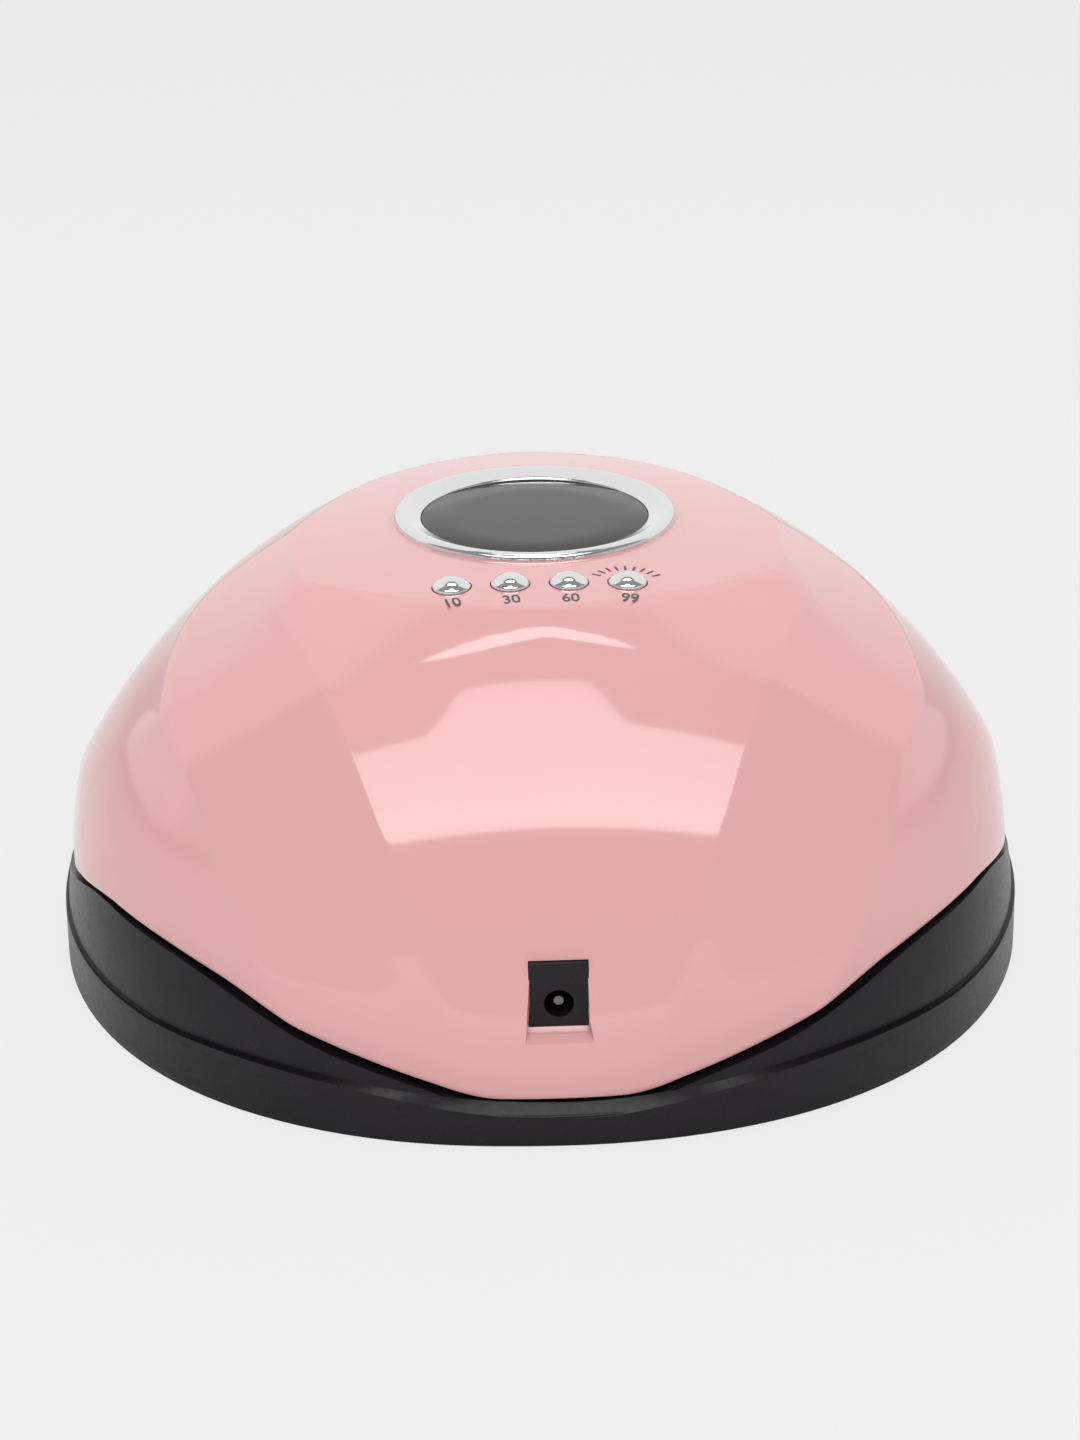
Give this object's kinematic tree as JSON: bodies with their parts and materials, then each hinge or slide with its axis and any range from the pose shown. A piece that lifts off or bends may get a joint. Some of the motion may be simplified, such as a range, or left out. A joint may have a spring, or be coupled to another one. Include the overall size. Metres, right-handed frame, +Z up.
{
  "type": "nail lamp",
  "caption": "Gel nail curing lamp: a ridged domed shell on a stepped base, with a hand chamber open in front, a ringed display and timer buttons on top, and a lift-out floor tray.",
  "frame": {"origin": "on the floor, under the centre of the outline's box", "axes": "+Z up; the hand opening faces -Y, the DC inlet faces +Y, +X is the lamp's wide way, to the right of someone who faces the hand opening"},
  "size_m": [0.235, 0.209, 0.1048],
  "materials": {
    "shell_pink": "gloss",
    "base_black": "satin",
    "chrome": "polished",
    "window_smoke": "gloss",
    "liner_bright": "bright",
    "board_green": "satin",
    "board_white": "satin",
    "led_lens": "gloss",
    "sensor_dark": "gloss",
    "part_black": "satin",
    "switch_grey": "satin",
    "guide_white": "satin",
    "inlet_black": "satin",
    "pin_brass": "bright",
    "steel": "satin",
    "magnet_nickel": "bright",
    "foot_rubber": "matt",
    "tray_white": "gloss"
  },
  "bodies": {
    "housing": {"top_shell": "shell_pink", "base_housing": "base_black", "opening_frame": "base_black", "reflector_dome": "liner_bright", "led_strip_lower": "board_white", "led_strip_slope": "board_white", "led_side_boards": "board_white", "led_roof_board": "board_white", "leds_lower": "led_lens", "leds_slope": "led_lens", "leds_roof": "led_lens", "sensor_board": "board_green", "sensor_eyes": "sensor_dark", "bezel_ring": "chrome", "display_window": "window_smoke", "display_module": "part_black", "control_board": "board_green", "board_screws": "steel", "tact_switches": "switch_grey", "button_guide": "guide_white", "dc_inlet_body": "inlet_black", "dc_inlet_pin": "pin_brass", "housing_magnets": "magnet_nickel", "rubber_feet": "foot_rubber", "base_screws": "steel"},
    "tray": {"bottom_tray": "tray_white", "tray_magnets": "magnet_nickel"},
    "button_10": {"timer_button_10": "chrome"},
    "button_30": {"timer_button_30": "chrome"},
    "button_60": {"timer_button_60": "chrome"},
    "button_99": {"timer_button_99": "chrome"}
  },
  "joints": [
    {"name": "tray_release", "type": "slide", "parent": "housing", "child": "tray", "axis": [0, 0, -1], "range_m": [0, 0.06]},
    {"name": "button_10_press", "type": "slide", "parent": "housing", "child": "button_10", "axis": [0, 0, -1], "range_m": [0, 0.0006], "stiffness_N_per_m": 2000},
    {"name": "button_30_press", "type": "slide", "parent": "housing", "child": "button_30", "axis": [0, 0, -1], "range_m": [0, 0.0006], "stiffness_N_per_m": 2000},
    {"name": "button_60_press", "type": "slide", "parent": "housing", "child": "button_60", "axis": [0, 0, -1], "range_m": [0, 0.0006], "stiffness_N_per_m": 2000},
    {"name": "button_99_press", "type": "slide", "parent": "housing", "child": "button_99", "axis": [0, 0, -1], "range_m": [0, 0.0006], "stiffness_N_per_m": 2000}
  ]
}
